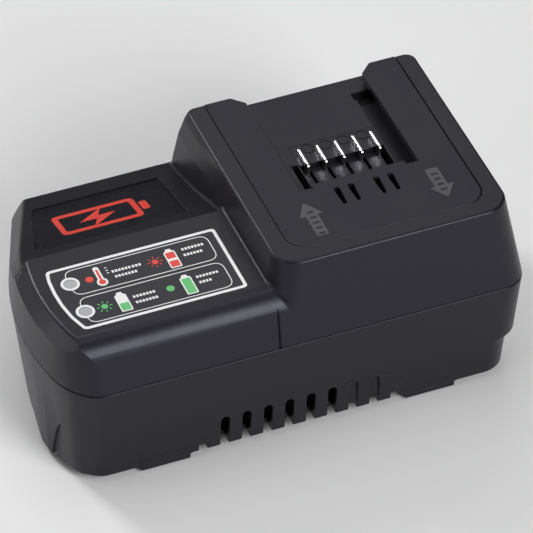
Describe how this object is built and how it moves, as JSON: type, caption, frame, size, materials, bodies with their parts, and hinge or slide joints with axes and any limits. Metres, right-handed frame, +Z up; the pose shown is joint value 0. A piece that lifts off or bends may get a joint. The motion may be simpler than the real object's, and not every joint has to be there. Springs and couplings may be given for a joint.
{
  "type": "power tool battery charger",
  "caption": "Mains charging station for slide-on tool battery packs: stepped dark housing with a railed dock and contact blades, vented skirt and a status label with two lamps.",
  "frame": {"origin": "centre of the footprint on the table", "axes": "+X along the length towards the dock end, -Y towards the vented front, +Z up"},
  "size_m": [0.1894, 0.1092, 0.0825],
  "materials": {
    "case_plastic": "fine satin moulded texture, charcoal",
    "dock_plastic": "satin moulded, slightly lighter charcoal",
    "contact_metal": "bright plated metal",
    "copper": "lacquered copper",
    "label_print": null,
    "panel_gloss": "smooth panel with a plain red charging symbol",
    "lamp_lens": "frosted translucent grey",
    "circuit_board": "green solder mask",
    "screw_steel": "zinc plated",
    "ribbon": "flat ribbon sleeve",
    "ferrite": "dark sintered ferrite",
    "winding_tape": "yellow insulation",
    "capacitor_sleeve": "shrink sleeve",
    "epoxy_black": "black moulding compound",
    "fuse_glass": "clear glass tube",
    "sink_aluminium": "extruded",
    "fan_plastic": "satin",
    "bearing_brass": "sintered bush",
    "foot_rubber": "soft matte"
  },
  "bodies": {
    "housing": {"lower_case": "case_plastic", "upper_case": "case_plastic", "dock_plate": "dock_plastic", "terminal_block": "dock_plastic", "terminal_blades": "contact_metal", "terminal_leads": "copper", "status_label": "label_print", "badge_panel": "panel_gloss", "light_pipes": "lamp_lens", "indicator_board": "circuit_board", "indicator_leds": "lamp_lens", "indicator_screw": "screw_steel", "indicator_ribbon": "ribbon", "main_board": "circuit_board", "board_screws": "screw_steel", "transformer_core": "ferrite", "transformer_winding": "winding_tape", "bulk_capacitor": "capacitor_sleeve", "bridge_rectifier": "epoxy_black", "choke_core": "ferrite", "choke_coils": "copper", "filter_capacitor": "winding_tape", "fuse": "fuse_glass", "fuse_clips": "contact_metal", "primary_heat_sink": "sink_aluminium", "secondary_heat_sink": "sink_aluminium", "power_transistor": "epoxy_black", "output_diode": "epoxy_black", "output_capacitors": "capacitor_sleeve", "control_chips": "epoxy_black", "mains_inlet": "epoxy_black", "inlet_pins": "contact_metal", "fan_frame": "fan_plastic", "fan_bearing": "bearing_brass", "fan_screws": "screw_steel", "case_screws": "screw_steel", "dock_screws": "screw_steel", "rubber_feet": "foot_rubber"},
    "fan_wheel": {"fan_rotor": "fan_plastic"}
  },
  "joints": [
    {"name": "fan_spin", "type": "hinge", "parent": "housing", "child": "fan_wheel", "pos_m": [0.0755, 0, 0.0256], "axis": [1, 0, 0], "continuous": true}
  ]
}
